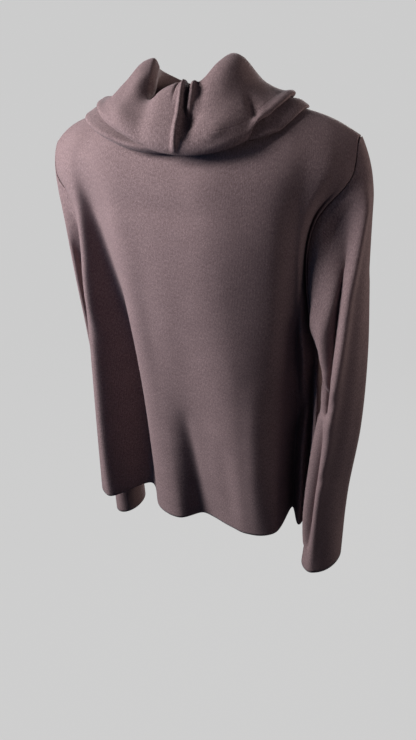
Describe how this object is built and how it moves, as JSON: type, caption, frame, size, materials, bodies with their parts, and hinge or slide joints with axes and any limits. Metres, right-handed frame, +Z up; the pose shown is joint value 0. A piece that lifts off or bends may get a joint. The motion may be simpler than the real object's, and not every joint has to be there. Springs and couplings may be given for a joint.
{
  "type": "sweater",
  "caption": "Long-sleeved cowl-neck sweater in brushed fine knit, filled out as it hangs, with lengthwise folds, a folded-over collar and plain turned hem and cuffs.",
  "frame": {"origin": "middle of the neck opening, level with the high point of the shoulders, where a hanger would hold it", "axes": "+Z up along the body; the front faces -Y; +X is the right-hand side as the front is looked at"},
  "size_m": [0.4277, 0.2222, 0.673],
  "materials": {
    "knit": "brushed matte"
  },
  "bodies": {
    "root": {"front": "knit", "back": "knit", "sleeve_right": "knit", "sleeve_left": "knit", "collar": "knit"}
  },
  "joints": []
}
